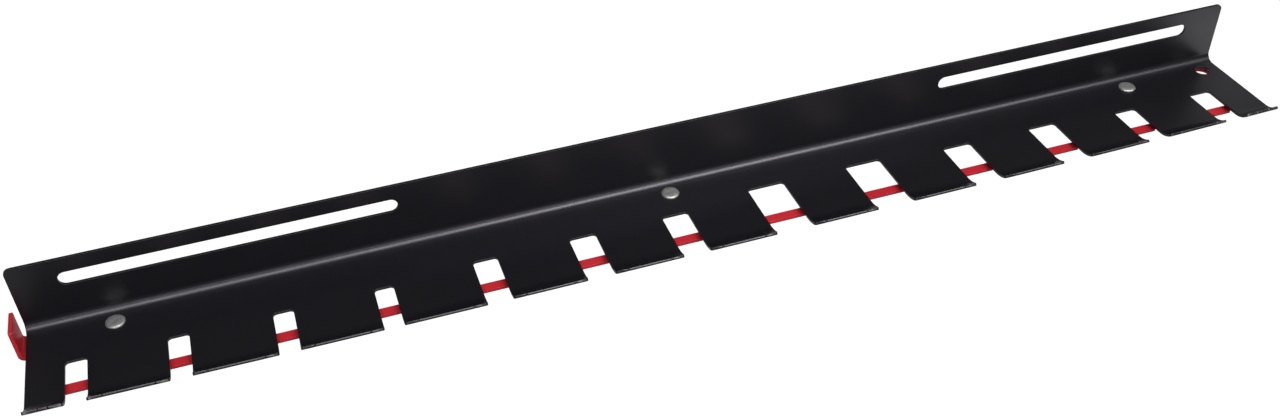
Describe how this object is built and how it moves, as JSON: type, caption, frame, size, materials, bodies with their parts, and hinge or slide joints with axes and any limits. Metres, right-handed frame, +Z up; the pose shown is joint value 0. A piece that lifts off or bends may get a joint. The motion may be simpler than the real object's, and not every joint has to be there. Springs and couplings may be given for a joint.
{
  "type": "clamp rack",
  "caption": "Wall rack for clamps: a folded steel shelf with notches of several sizes, closed together by a sliding red lock bar with a pull tab and a padlock hole.",
  "frame": {"origin": "centre of the wall side of the flange, midway along the rack, at the height of the mounting slots", "axes": "+X along the rack to the right as seen from the front, +Y into the wall, +Z up"},
  "size_m": [0.9197, 0.0868, 0.0621],
  "materials": {
    "powder_black": "satin black powder coat",
    "powder_red": "satin red powder coat",
    "zinc": "dull zinc-plated steel"
  },
  "bodies": {
    "rack": {"rack_body": "powder_black", "guide_rivet_1": "zinc", "guide_bush_1": "zinc", "guide_washer_1": "zinc", "guide_rivet_2": "zinc", "guide_bush_2": "zinc", "guide_washer_2": "zinc", "guide_rivet_3": "zinc", "guide_bush_3": "zinc", "guide_washer_3": "zinc"},
    "lock_bar": {"lock_bar": "powder_red"}
  },
  "joints": [
    {"name": "lock_slide", "type": "slide", "parent": "rack", "child": "lock_bar", "axis": [-1, 0, 0], "range_m": [0, 0.0335]}
  ]
}
